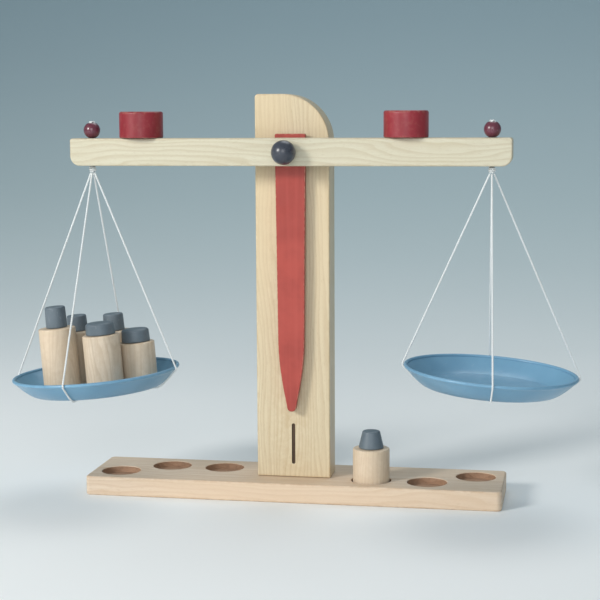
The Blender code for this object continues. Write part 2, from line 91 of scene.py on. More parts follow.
# --------------------------------------------------------------------------- camera
YAW, PITCH, ROLL = math.radians(10.52), math.radians(7.07), math.radians(-0.3)
ahead = Vector((-math.sin(YAW) * math.cos(PITCH), math.cos(YAW) * math.cos(PITCH), -math.sin(PITCH)))
level = Vector((math.cos(YAW), math.sin(YAW), 0.0))
above = level.cross(ahead)
across = level * math.cos(ROLL) + above * math.sin(ROLL)
upward = above * math.cos(ROLL) - level * math.sin(ROLL)
cam_data = bpy.data.cameras.new("camera")
cam_data.sensor_width = 36.0
cam_data.lens = 92.3
cam_data.clip_start, cam_data.clip_end = 0.05, 30.0
camera = bpy.data.objects.new("camera", cam_data)
bpy.context.scene.collection.objects.link(camera)
turn = Matrix((across, upward, -ahead)).transposed()
camera.matrix_world = Matrix.Translation((0.264, -1.400, 0.360)) @ turn.to_4x4()
bpy.context.scene.camera = camera


# ------------------------------------------------------------------- outline helpers
def arc(cx, cy, r, start_deg, end_deg, steps):
    return [
        (cx + r * math.cos(math.radians(start_deg + (end_deg - start_deg) * k / steps)),
         cy + r * math.sin(math.radians(start_deg + (end_deg - start_deg) * k / steps)))
        for k in range(steps + 1)
    ]


def rounded_box(x0, x1, y0, y1, radii, steps):
    """Corners in the order lower right, upper right, upper left, lower left."""
    lr, ur, ul, ll = radii
    return (
        arc(x1 - lr, y0 + lr, lr, -90, 0, steps[0])
        + arc(x1 - ur, y1 - ur, ur, 0, 90, steps[1])
        + arc(x0 + ul, y1 - ul, ul, 90, 180, steps[2])
        + arc(x0 + ll, y0 + ll, ll, 180, 270, steps[3])
    )


def box_outline(x0, x1, y0, y1, radii, steps):
    """A function that gives the outline, drawn in by a distance, with the same number of points."""
    def at(inset):
        return rounded_box(x0 + inset, x1 - inset, y0 + inset, y1 - inset,
                           [max(r - inset, 0.00012) for r in radii], steps)
    return at


def stadium_outline(cx, half, r, steps=16):
    def at(inset):
        k = r - inset
        return (arc(cx + half, 0, k, -90, 90, steps) + arc(cx - half, 0, k, 90, 270, steps))
    return at


def eased(corners, closed=False):
    """A (radius, height) outline with each corner (r, z, soft) turned into a small arc."""
    out, wear = [], []
    n = len(corners)
    for i, (x, y, soft) in enumerate(corners):
        p = Vector((x, y))
        if soft <= 0 or (not closed and i in (0, n - 1)):
            out.append((x, y)); wear.append(0.0)
            continue
        a = (Vector(corners[i - 1][:2]) - p)
        b = (Vector(corners[(i + 1) % n][:2]) - p)
        la, lb = a.length, b.length
        a.normalize(); b.normalize()
        half = math.acos(max(-1, min(1, a.dot(b)))) / 2
        back = min(soft / math.tan(half), la * 0.49, lb * 0.49)
        r = back * math.tan(half)
        mid = (a + b).normalized()
        centre = p + mid * (r / math.sin(half))
        first, last = p + a * back - centre, p + b * back - centre
        t0 = math.atan2(first.y, first.x)
        t1 = math.atan2(last.y, last.x)
        while t1 - t0 > math.pi:
            t1 -= 2 * math.pi
        while t1 - t0 < -math.pi:
            t1 += 2 * math.pi
        steps = max(3, int(abs(t1 - t0) / math.radians(15)))
        for k in range(steps + 1):
            t = t0 + (t1 - t0) * k / steps
            out.append((centre.x + r * math.cos(t), centre.y + r * math.sin(t)))
            wear.append(math.sin(math.pi * k / steps) * 0.6 + 0.4)
    return out, wear


# ---------------------------------------------------------------------- mesh helpers
def new_object(name, bm, mats, sharp_deg=32.0, wear=None, weighted=True):
    bmesh.ops.recalc_face_normals(bm, faces=bm.faces)
    mesh = bpy.data.meshes.new(name)
    bm.to_mesh(mesh)
    bm.free()
    for m in mats:
        mesh.materials.append(m)
    mesh.shade_smooth()
    mesh.set_sharp_from_angle(angle=math.radians(sharp_deg))
    ob = bpy.data.objects.new(name, mesh)
    bpy.context.scene.collection.objects.link(ob)
    if weighted:
        mod = ob.modifiers.new("flat_faces", "WEIGHTED_NORMAL")
        mod.keep_sharp = True
        mod.weight = 60
    return ob


def apply_all(ob):
    """The object's modifiers made part of its mesh."""
    bpy.context.view_layer.update()
    graph = bpy.context.evaluated_depsgraph_get()
    mesh = bpy.data.meshes.new_from_object(ob.evaluated_get(graph), preserve_all_data_layers=True,
                                           depsgraph=graph)
    old = ob.data
    ob.modifiers.clear()
    ob.data = mesh
    mesh.name = ob.name
    bpy.data.meshes.remove(old)
    return ob


def swept(name, outline, sides, mats, at=(0, 0, 0), tilt=0.0, forward=False, closed=False,
          wear=None, sharp_deg=32.0, ripple=None, start=0.0):
    """A turned piece. The outline's points are (radius, height), and wear holds one value for each."""
    bm = bmesh.new()
    layer = bm.verts.layers.float.new("wear")
    rings = []
    for i, (r, z) in enumerate(outline):
        w = wear[i] if wear else 0.0
        ring = []
        for k in range(1 if r < 1e-7 else sides):
            a = 2 * math.pi * k / sides + start
            rr = r if ripple is None else r + ripple(a, r, z)
            v = bm.verts.new((rr * math.cos(a), rr * math.sin(a), z))
            v[layer] = w
            ring.append(v)
        rings.append(ring)
    pairs = [(rings[i], rings[i + 1]) for i in range(len(rings) - 1)]
    if closed:
        pairs.append((rings[-1], rings[0]))
    for a, b in pairs:
        for k in range(sides):
            n = (k + 1) % sides
            if len(a) == 1 and len(b) == 1:
                continue
            if len(a) == 1:
                bm.faces.new((a[0], b[k], b[n]))
            elif len(b) == 1:
                bm.faces.new((a[k], a[n], b[0]))
            else:
                bm.faces.new((a[k], a[n], b[n], b[k]))
    m = Matrix.Translation(at) @ Matrix.Rotation(tilt, 4, "Y")
    if forward:
        m = Matrix.Translation(at) @ Matrix.Rotation(math.radians(90), 4, "X")
    bmesh.ops.transform(bm, matrix=m, verts=bm.verts)
    return new_object(name, bm, mats, sharp_deg)


def board(name, outline, low, high, along, mats, soft, at=(0, 0, 0), steps=4, support=0.0016):
    """A straight piece with rounded edges: outline(inset) carried from low to high along Y or Z."""
    bm = bmesh.new()
    layer = bm.verts.layers.float.new("wear")

    def place(u, v, w):
        return (u, w, v) if along == "Y" else (u, v, w)

    turns = [(math.pi / 2 * k / steps) for k in range(steps + 1)]
    rings = [(soft + support, low, 0.0)]
    rings += [(soft * (1 - math.sin(a)), low + soft * (1 - math.cos(a)), 0.35 + 0.65 * math.sin(2 * a)) for a in turns]
    rings += [(0.0, low + soft + support, 0.0), (0.0, high - soft - support, 0.0)]
    rings += [(soft * (1 - math.sin(a)), high - soft * (1 - math.cos(a)), 0.35 + 0.65 * math.sin(2 * a))
              for a in reversed(turns)]
    rings += [(soft + support, high, 0.0)]
    made = []
    for inset, w, value in rings:
        ring = []
        for u, v in outline(inset):
            vert = bm.verts.new(place(u, v, w))
            vert[layer] = value
            ring.append(vert)
        made.append(ring)
    for a, b in zip(made, made[1:]):
        for k in range(len(a)):
            n = (k + 1) % len(a)
            bm.faces.new((a[k], a[n], b[n], b[k]))
    bm.faces.new(list(reversed(made[0])))
    bm.faces.new(made[-1])
    bmesh.ops.transform(bm, matrix=Matrix.Translation(at), verts=bm.verts)
    return new_object(name, bm, mats, weighted=False)


def cutter(stacks):
    """One mesh of several closed forms. Each is a list of (outline points, height) rings, and 'place'."""
    bm = bmesh.new()
    for rings, place in stacks:
        made = [[bm.verts.new(place(u, v, w)) for u, v in points] for points, w in rings]
        for a, b in zip(made, made[1:]):
            for k in range(len(a)):
                n = (k + 1) % len(a)
                bm.faces.new((a[k], a[n], b[n], b[k]))
        bm.faces.new(list(reversed(made[0])))
        bm.faces.new(made[-1])
    bmesh.ops.recalc_face_normals(bm, faces=bm.faces)
    mesh = bpy.data.meshes.new("cut_form")
    bm.to_mesh(mesh)
    bm.free()
    ob = bpy.data.objects.new("cut_form", mesh)
    bpy.context.scene.collection.objects.link(ob)
    return ob


def cut(ob, tool, kind="DIFFERENCE"):
    mod = ob.modifiers.new("cut", "BOOLEAN")
    mod.operation, mod.solver, mod.object = kind, "EXACT", tool
    apply_all(ob)
    bpy.data.objects.remove(tool, do_unlink=True)


def flare(outline, low, high, lip, below=False, steps=4, bottom=0.0):
    """Rings of a cutter whose mouth opens out in a small curve, so that the lip it leaves is rounded.
    The curve ends a little past the surface, so no ring lies in the surface's own plane."""
    rings = []
    past = 0.00002
    high += past
    if below:
        low -= past
    if bottom > 0:
        for k in range(steps + 1):
            a = math.pi / 2 * k / steps
            rings.append((outline(bottom * (1 - math.sin(a))), low + bottom * (1 - math.cos(a))))
    elif below:
        rings.append((outline(-lip), low - 0.004))
        for k in range(steps + 1):
            a = math.pi / 2 * k / steps
            rings.append((outline(-lip * (1 - math.sin(a))), low + lip * (1 - math.cos(a))))
    else:
        rings.append((outline(0.0), low))
    for k in range(steps + 1):
        a = math.pi / 2 * k / steps
        rings.append((outline(-lip * (1 - math.cos(a))), high - lip * (1 - math.sin(a))))
    rings.append((outline(-lip), high + 0.004))
    return rings


def finish_board(ob, sharp_deg=32.0):
    bm = bmesh.new()
    bm.from_mesh(ob.data)
    bmesh.ops.remove_doubles(bm, verts=bm.verts, dist=2e-6)
    bmesh.ops.dissolve_degenerate(bm, edges=bm.edges, dist=1e-6)
    bm.to_mesh(ob.data)
    bm.free()
    ob.data.shade_smooth()
    ob.data.set_sharp_from_angle(angle=math.radians(sharp_deg))
    mod = ob.modifiers.new("flat_faces", "WEIGHTED_NORMAL")
    mod.keep_sharp = True
    mod.weight = 60
    return ob


def wear_near(ob, test):
    """Adds wear to the vertices for which test(co) gives more than they have."""
    values = ob.data.attributes.get("wear") or ob.data.attributes.new("wear", "FLOAT", "POINT")
    for v in ob.data.vertices:
        values.data[v.index].value = max(values.data[v.index].value, test(v.co))


def paint_faces(ob, index, test):
    for p in ob.data.polygons:
        if test(p.center, p.normal):
            p.material_index = index


# --------------------------------------------------------------------------- shaders
class Finish:
    """A material whose colour, roughness and relief come from procedural nodes."""

    def __init__(self, name):
        self.mat = bpy.data.materials.new(name)
        self.mat.use_nodes = True
        self.tree = self.mat.node_tree
        self.tree.nodes.clear()
        out = self.tree.nodes.new("ShaderNodeOutputMaterial")
        self.bsdf = self.tree.nodes.new("ShaderNodeBsdfPrincipled")
        self.tree.links.new(self.bsdf.outputs["BSDF"], out.inputs["Surface"])
        self.where = self.tree.nodes.new("ShaderNodeTexCoord").outputs["Object"]

    def feed(self, socket, value):
        if isinstance(value, bpy.types.NodeSocket):
            self.tree.links.new(value, socket)
        else:
            socket.default_value = value

    def fixed(self, **values):
        for key, value in values.items():
            self.bsdf.inputs[key.replace("_", " ")].default_value = value

    def math(self, op, a, b=None, c=None, clamp=False):
        n = self.tree.nodes.new("ShaderNodeMath")
        n.operation, n.use_clamp = op, clamp
        for socket, value in zip(n.inputs, (a, b, c)):
            if value is not None:
                self.feed(socket, value)
        return n.outputs[0]

    def vec(self, op, a, b=None, scale=None):
        n = self.tree.nodes.new("ShaderNodeVectorMath")
        n.operation = op
        self.feed(n.inputs[0], a)
        if b is not None:
            self.feed(n.inputs[1], b)
        if scale is not None:
            self.feed(n.inputs["Scale"], scale)
        return n.outputs["Value"] if op in ("LENGTH", "DOT_PRODUCT", "DISTANCE") else n.outputs[0]

    def split(self, v):
        n = self.tree.nodes.new("ShaderNodeSeparateXYZ")
        self.feed(n.inputs[0], v)
        return n.outputs

    def join(self, x, y, z):
        n = self.tree.nodes.new("ShaderNodeCombineXYZ")
        for socket, value in zip(n.inputs, (x, y, z)):
            self.feed(socket, value)
        return n.outputs[0]

    def noise(self, v, scale=1.0, detail=2.0, rough=0.5, distortion=0.0):
        n = self.tree.nodes.new("ShaderNodeTexNoise")
        self.feed(n.inputs["Vector"], v)
        n.inputs["Scale"].default_value = scale
        n.inputs["Detail"].default_value = detail
        n.inputs["Roughness"].default_value = rough
        n.inputs["Distortion"].default_value = distortion
        return n.outputs[0]

    def cells(self, v, scale=1.0, feature="F1", randomness=1.0):
        n = self.tree.nodes.new("ShaderNodeTexVoronoi")
        n.feature = feature
        self.feed(n.inputs["Vector"], v)
        n.inputs["Scale"].default_value = scale
        n.inputs["Randomness"].default_value = randomness
        return n.outputs[0]

    def span(self, value, a, b, c=0.0, d=1.0, smooth=True):
        n = self.tree.nodes.new("ShaderNodeMapRange")
        n.interpolation_type = "SMOOTHSTEP" if smooth else "LINEAR"
        n.clamp = True
        for socket, v in zip(n.inputs, (value, a, b, c, d)):
            self.feed(socket, v)
        return n.outputs[0]

    def mix(self, fac, a, b, kind="MIX"):
        n = self.tree.nodes.new("ShaderNodeMix")
        n.data_type, n.blend_type = "RGBA", kind
        self.feed(n.inputs[0], fac)
        for socket, value in ((n.inputs[6], a), (n.inputs[7], b)):
            self.feed(socket, value if isinstance(value, bpy.types.NodeSocket) else (*value, 1.0))
        return n.outputs[2]

    def attribute(self, name):
        n = self.tree.nodes.new("ShaderNodeAttribute")
        n.attribute_name = name
        return n.outputs["Fac"]

    def relief(self, height, strength, distance, normal=None):
        n = self.tree.nodes.new("ShaderNodeBump")
        n.inputs["Strength"].default_value = strength
        n.inputs["Distance"].default_value = distance
        self.feed(n.inputs["Height"], height)
        if normal is not None:
            self.feed(n.inputs["Normal"], normal)
        return n.outputs[0]

    def done(self, colour, rough, normal=None):
        self.feed(self.bsdf.inputs["Base Color"], colour)
        self.feed(self.bsdf.inputs["Roughness"], rough)
        if normal is not None:
            self.feed(self.bsdf.inputs["Normal"], normal)
        return self.mat


def wood_parts(s, along, seed, centre, gap):
    """Rings, fibres, pores and slow tone of a piece of wood, whose grain runs along X, Y or Z."""
    x, y, z = s.split(s.where)
    u, v, w = {"X": (x, y, z), "Y": (y, z, x), "Z": (z, x, y)}[along]
    u = s.math("ADD", u, seed * 0.731)
    v = s.math("ADD", v, seed * 0.0173)
    w = s.math("ADD", w, seed * 0.0241)
    slow = s.noise(s.join(s.math("MULTIPLY", u, 5.0), s.math("MULTIPLY", v, 26.0), s.math("MULTIPLY", w, 26.0)),
                   1.0, 3.0, 0.5)
    sway = s.math("MULTIPLY", s.math("SUBTRACT", slow, 0.5), 0.030)
    dv = s.math("ADD", s.math("SUBTRACT", v, centre[0]), s.math("MULTIPLY", u, 0.035))
    dw = s.math("SUBTRACT", s.math("SUBTRACT", w, centre[1]), s.math("MULTIPLY", u, 0.022))
    r = s.math("ADD", s.math("SQRT", s.math("ADD", s.math("MULTIPLY", dv, dv), s.math("MULTIPLY", dw, dw))), sway)
    uneven = s.noise(s.join(s.math("MULTIPLY", r, 60.0), s.math("MULTIPLY", u, 0.6), 0.0), 1.0, 1.0, 0.5)
    ring = s.math("FRACT", s.math("ADD", s.math("DIVIDE", r, gap), s.math("MULTIPLY", uneven, 2.2)))
    late = s.math("MULTIPLY", s.span(ring, 0.30, 0.88), s.span(ring, 0.90, 1.0, 1.0, 0.0))
    fibre = s.noise(s.join(s.math("MULTIPLY", u, 22.0), s.math("MULTIPLY", v, 1500.0), s.math("MULTIPLY", w, 1500.0)),
                    1.0, 3.0, 0.62)
    streak = s.noise(s.join(s.math("MULTIPLY", u, 7.0), s.math("MULTIPLY", v, 260.0), s.math("MULTIPLY", w, 260.0)),
                     1.0, 2.0, 0.5)
    pore = s.noise(s.join(s.math("MULTIPLY", u, 260.0), s.math("MULTIPLY", v, 2600.0), s.math("MULTIPLY", w, 2600.0)),
                   1.0, 1.0, 0.4)
    pores = s.span(pore, 0.60, 0.72)
    tone = s.noise(s.join(s.math("MULTIPLY", u, 3.0), s.math("MULTIPLY", v, 14.0), s.math("MULTIPLY", w, 14.0)),
                   1.0, 2.0, 0.5)
    return late, fibre, streak, pores, tone


def wood(name, along, light, dark, seed=1.0, centre=(-0.055, 0.085), gap=0.0034, rough=0.42,
         coat=0.12, ring_share=0.55, worn=None):
    s = Finish(name)
    late, fibre, streak, pores, tone = wood_parts(s, along, seed, centre, gap)
    deep = tuple(c * f for c, f in zip(dark, (0.72, 0.66, 0.58)))
    colour = s.mix(s.math("MULTIPLY", late, ring_share), light, dark)
    colour = s.mix(s.span(fibre, 0.35, 0.72, 0.0, 0.30, False), colour, dark)
    colour = s.mix(s.span(streak, 0.42, 0.75, 0.0, 0.35, False), colour, dark)
    colour = s.mix(s.math("MULTIPLY", pores, 0.28), colour, deep)
    warm = tuple(min(1.0, c * f) for c, f in zip(light, (1.02, 0.94, 0.84)))
    colour = s.mix(s.span(tone, 0.40, 0.68, 0.0, 0.55), colour, warm)
    # handled edges: a little darker and smoother, broken up by noise
    rub = s.noise(s.where, 160.0, 3.0, 0.6)
    edge = s.math("MULTIPLY", s.attribute("wear"), s.span(rub, 0.36, 0.62))
    colour = s.mix(s.math("MULTIPLY", edge, 0.42), colour, worn or tuple(c * f for c, f in zip(dark, (0.92, 0.84, 0.74))))
    smear = s.noise(s.where, 38.0, 3.0, 0.55)
    roughness = s.math("ADD", s.span(fibre, 0.3, 0.7, rough - 0.05, rough + 0.09, False),
                       s.span(smear, 0.35, 0.65, -0.05, 0.05, False))
    roughness = s.math("SUBTRACT", roughness, s.math("MULTIPLY", edge, 0.08))
    height = s.math("ADD", s.math("MULTIPLY", fibre, 0.5), s.math("MULTIPLY", late, 0.35))
    height = s.math("SUBTRACT", height, s.math("MULTIPLY", pores, 0.5))
    normal = s.relief(height, 0.30, 0.00016)
    s.fixed(Coat_Weight=coat, Coat_Roughness=0.28, IOR=1.48, Specular_IOR_Level=0.42)
    return s.done(colour, roughness, normal)


def mark_and_shade_wood(name, along, light, dark, seed=1.0, centre=(-0.055, 0.085), gap=0.0034):
    """Cut faces with no lacquer on them: rougher, with the marks of the tool, and dark: the index mark's own colour,
    and painted shade inside the recesses, slots and holes.
    """
    s = Finish(name)
    late, fibre, streak, pores, tone = wood_parts(s, along, seed, centre, gap)
    colour = s.mix(s.math("MULTIPLY", late, 0.5), light, dark)
    colour = s.mix(s.span(fibre, 0.35, 0.70, 0.0, 0.45, False), colour, dark)
    colour = s.mix(s.math("MULTIPLY", pores, 0.35), colour, tuple(c * 0.5 for c in dark))
    scorch = s.noise(s.where, 210.0, 3.0, 0.6)
    colour = s.mix(s.span(scorch, 0.45, 0.72, 0.0, 0.35), colour, tuple(c * 0.55 for c in dark))
    s.fixed(IOR=1.45, Specular_IOR_Level=0.3)
    normal = s.relief(s.math("ADD", fibre, s.math("MULTIPLY", scorch, 0.6)), 0.5, 0.00022)
    return s.done(colour, s.span(fibre, 0.3, 0.7, 0.62, 0.78, False), normal)


def painted(name, colour, under, seed=1.0, along="Z", rough=0.40, coat=0.25, chip=1.0, grain=0.35):
    """Paint on wood: a slight grain shows through, and the paint is rubbed thin at the edges."""
    s = Finish(name)
    late, fibre, streak, pores, tone = wood_parts(s, along, seed, (-0.05, 0.07), 0.0032)
    shade = s.noise(s.where, 30.0, 3.0, 0.55)
    dark = tuple(c * f for c, f in zip(colour, (0.80, 0.72, 0.72)))
    pale = tuple(min(1.0, c * 1.10 + 0.012) for c in colour)
    col = s.mix(s.span(shade, 0.35, 0.66), dark, colour)
    col = s.mix(s.span(streak, 0.45, 0.75, 0.0, 0.35, False), col, pale)
    rub = s.noise(s.where, 240.0, 4.0, 0.65)
    wear = s.attribute("wear")
    thin = s.math("MULTIPLY", s.span(s.math("MULTIPLY", wear, s.span(rub, 0.34, 0.66)), 0.18, 0.80), 0.55 * chip)
    col = s.mix(thin, col, tuple(c * 0.5 + u * 0.5 for c, u in zip(colour, under)))
    bare = s.math("MULTIPLY", s.span(s.math("MULTIPLY", wear, rub), 0.60, 0.70), 0.8 * chip)
    col = s.mix(bare, col, under)
    scuffs = s.noise(s.vec("MULTIPLY", s.where, (420.0, 420.0, 60.0)), 1.0, 2.0, 0.5)
    scuff = s.span(scuffs, 0.66, 0.76)
    col = s.mix(s.math("MULTIPLY", scuff, 0.16), col, pale)
    smear = s.noise(s.where, 55.0, 3.0, 0.6)
    roughness = s.math("ADD", s.span(smear, 0.35, 0.65, rough - 0.05, rough + 0.07, False),
                       s.math("MULTIPLY", s.math("ADD", thin, scuff), 0.14))
    peel = s.noise(s.where, 620.0, 1.0, 0.4)
    height = s.math("ADD", s.math("MULTIPLY", fibre, grain), s.math("MULTIPLY", peel, 0.35))
    height = s.math("SUBTRACT", height, s.math("MULTIPLY", bare, 0.6))
    normal = s.relief(height, 0.28, 0.00014)
    s.fixed(Coat_Weight=coat, Coat_Roughness=0.22, IOR=1.5, Specular_IOR_Level=0.45)
    return s.done(col, roughness, normal)


def plastic(name, colour, rough=0.34, coat=0.0, scuffed=0.5, texture=520.0, relief=0.10, subsurface=0.0):
    """Moulded plastic: slow shade differences, a fine moulded surface, and hairline scuffs."""
    s = Finish(name)
    shade = s.noise(s.where, 18.0, 3.0, 0.5)
    deep = tuple(c * f for c, f in zip(colour, (0.84, 0.88, 0.91)))
    pale = tuple(min(1.0, c * 1.06 + 0.02) for c in colour)
    col = s.mix(s.span(shade, 0.34, 0.66), deep, colour)
    lines = []
    for i, (a, b) in enumerate(((0.6, 1.0), (2.1, 0.8), (2.9, 1.1))):
        rot = s.tree.nodes.new("ShaderNodeMapping")
        rot.inputs["Rotation"].default_value = (0.0, 0.0, a)
        rot.inputs["Location"].default_value = (0.37 * i, 0.11 * i, 0.0)
        s.feed(rot.inputs["Vector"], s.where)
        stretched = s.vec("MULTIPLY", rot.outputs[0], (26.0 * b, 900.0 * b, 160.0))
        lines.append(s.span(s.noise(stretched, 1.0, 1.0, 0.4), 0.70, 0.76))
    scratch = s.math("MAXIMUM", s.math("MAXIMUM", lines[0], lines[1]), lines[2])
    patch = s.span(s.noise(s.where, 24.0, 2.0, 0.5), 0.46, 0.62)
    scratch = s.math("MULTIPLY", scratch, patch)
    col = s.mix(s.math("MULTIPLY", scratch, 0.30 * scuffed), col, tuple(min(1.0, c * 0.6 + 0.34) for c in colour))
    edge = s.math("MULTIPLY", s.attribute("wear"), s.span(s.noise(s.where, 180.0, 3.0, 0.6), 0.40, 0.62))
    col = s.mix(s.math("MULTIPLY", edge, 0.35), col, pale)
    smear = s.noise(s.where, 46.0, 3.0, 0.6)
    roughness = s.math("ADD", s.span(smear, 0.35, 0.65, rough - 0.05, rough + 0.06, False),
                       s.math("MULTIPLY", scratch, 0.22 * scuffed))
    fine = s.noise(s.where, texture, 2.0, 0.5)
    height = s.math("SUBTRACT", s.math("MULTIPLY", fine, 0.6), s.math("MULTIPLY", scratch, 0.5 * scuffed))
    normal = s.relief(height, relief, 0.00012)
    s.fixed(Coat_Weight=coat, Coat_Roughness=0.2, IOR=1.49, Specular_IOR_Level=0.5, Subsurface_Weight=subsurface)
    if subsurface:
        s.bsdf.inputs["Subsurface Radius"].default_value = (0.4, 0.7, 1.0)
        s.bsdf.inputs["Subsurface Scale"].default_value = 0.002
    return s.done(col, roughness, normal)


def cord_finish(name, colour):
    """Twisted cord: fibres run along each ply, with painted shade darkening the valleys between the plies."""
    s = Finish(name)
    run, round_ = s.attribute("run"), s.attribute("round")
    fibre = s.noise(s.join(s.math("MULTIPLY", run, 900.0), s.math("MULTIPLY", round_, 5.0), 0.0), 1.0, 2.0, 0.6)
    soil = s.noise(s.where, 26.0, 3.0, 0.6)
    valley = s.span(s.attribute("valley"), 0.0, 1.0, 0.0, 1.0)
    col = s.mix(s.span(fibre, 0.30, 0.70), tuple(c * 0.90 for c in colour), colour)
    # painted shade: the sides of the plies that face into the valleys between them are darkened
    col = s.mix(s.math("MULTIPLY", valley, 0.45), col, tuple(c * f for c, f in zip(colour, (0.60, 0.63, 0.66))))
    col = s.mix(s.span(soil, 0.50, 0.72, 0.0, 0.22), col, tuple(c * f for c, f in zip(colour, (0.84, 0.80, 0.72))))
    normal = s.relief(fibre, 0.55, 0.00012)
    s.fixed(IOR=1.46, Specular_IOR_Level=0.25, Sheen_Weight=0.35, Sheen_Roughness=0.5)
    return s.done(col, s.span(fibre, 0.3, 0.7, 0.70, 0.88, False), normal)


def brushed_steel(name):
    s = Finish(name)
    x, y, z = s.split(s.where)
    lines = s.noise(s.join(s.math("MULTIPLY", x, 300.0), s.math("MULTIPLY", y, 2500.0), s.math("MULTIPLY", z, 300.0)),
                    1.0, 3.0, 0.6)
    col = s.mix(s.span(lines, 0.3, 0.7), (0.42, 0.42, 0.43), (0.62, 0.62, 0.63))
    s.fixed(Metallic=1.0)
    return s.done(col, s.span(lines, 0.3, 0.7, 0.24, 0.40, False), s.relief(lines, 0.2, 0.00008))


WOOD_LIGHT, WOOD_DARK = (0.78, 0.65, 0.45), (0.60, 0.44, 0.26)
base_wood = wood("base_wood_finish", "X", (0.73, 0.60, 0.47), (0.59, 0.43, 0.29), 3.0, (0.02, -0.115), 0.0040,
                 rough=0.58, coat=0.02)
upright_wood = wood("upright_wood_finish", "Z", (0.70, 0.60, 0.42), (0.55, 0.43, 0.265), 7.0, (0.012, -0.095), 0.0036)
beam_wood = wood("beam_wood_finish", "X", (0.635, 0.60, 0.465), (0.51, 0.44, 0.30), 12.0, (0.045, 0.10), 0.0030)
weight_wood = wood("weight_wood_finish", "Z", (0.72, 0.61, 0.48), (0.56, 0.44, 0.31), 5.0, (-0.035, 0.045), 0.0026,
                   rough=0.50, coat=0.04)
# the insides of the recesses: wood in a darker colour that is painted shade
recess_shade_wood = mark_and_shade_wood("recess_shade_wood_finish", "X", (0.42, 0.262, 0.170), (0.285, 0.17, 0.105), 3.0, (0.02, -0.115), 0.0040)
# the insides of the slots and holes: wood in a darker colour that is painted shade
slot_shade_wood = mark_and_shade_wood("slot_shade_wood_finish", "X", (0.56, 0.43, 0.28), (0.40, 0.28, 0.17), 12.0, (0.045, 0.10), 0.0030)
mark_paint = mark_and_shade_wood("index_mark_finish", "Z", (0.105, 0.066, 0.042), (0.055, 0.035, 0.024), 7.0)
pointer_red = painted("pointer_red_finish", (0.43, 0.060, 0.042), (0.70, 0.52, 0.34), 2.0, "Z", rough=0.40)
trim_red = painted("trim_red_finish", (0.29, 0.021, 0.032), (0.55, 0.36, 0.25), 4.0, "Z", rough=0.42, coat=0.15,
                   chip=0.7, grain=0.25)
bead_maroon = painted("bead_maroon_finish", (0.150, 0.034, 0.058), (0.50, 0.33, 0.24), 6.0, "Z", rough=0.30,
                      coat=0.45, chip=0.35, grain=0.15)
ball_slate = plastic("ball_slate_finish", (0.045, 0.051, 0.068), rough=0.30, coat=0.2, scuffed=0.5, relief=0.08)
knob_blue = plastic("knob_blue_finish", (0.130, 0.164, 0.190), rough=0.44, scuffed=0.5, texture=760.0, relief=0.16)
pan_blue = plastic("pan_blue_finish", (0.180, 0.366, 0.520), rough=0.33, coat=0.08, scuffed=0.8, texture=420.0,
                   relief=0.09, subsurface=0.06)
cord_white = cord_finish("cord_white_finish", (0.79, 0.82, 0.82))
axle_steel = brushed_steel("axle_steel_finish")


# ------------------------------------------------------------------------ twisted cord
def spaced(points, step):
    """The line through the points, with a point at every step."""
    p = np.array(points, float)
    d = np.r_[0.0, np.cumsum(np.linalg.norm(np.diff(p, axis=0), axis=1))]
    n = max(2, int(round(d[-1] / step)) + 1)
    at = np.linspace(0, d[-1], n)
    return np.stack([np.interp(at, d, p[:, i]) for i in range(3)], axis=1)


def softened(p, step, sigma):
    """The line with its small kinks smoothed out, its two ends held."""
    reach = int(3 * sigma / step)
    k = np.exp(-0.5 * (np.arange(-reach, reach + 1) * step / sigma) ** 2)
    k /= k.sum()
    padded = np.concatenate([2 * p[0] - p[reach:0:-1], p, 2 * p[-1] - p[-2:-reach - 2:-1]])
    return np.stack([np.convolve(padded[:, i], k, mode="valid") for i in range(3)], axis=1)


def frames_along(p):
    t = np.gradient(p, axis=0)
    t /= np.linalg.norm(t, axis=1)[:, None]
    n = np.zeros_like(p)
    first = np.cross(t[0], (0.0, 0.0, 1.0))
    if np.linalg.norm(first) < 1e-3:
        first = np.cross(t[0], (1.0, 0.0, 0.0))
    n[0] = first / np.linalg.norm(first)
    for i in range(1, len(p)):
        v = n[i - 1] - t[i] * (n[i - 1] @ t[i])
        n[i] = v / np.linalg.norm(v)
    return t, n, np.cross(t, n)


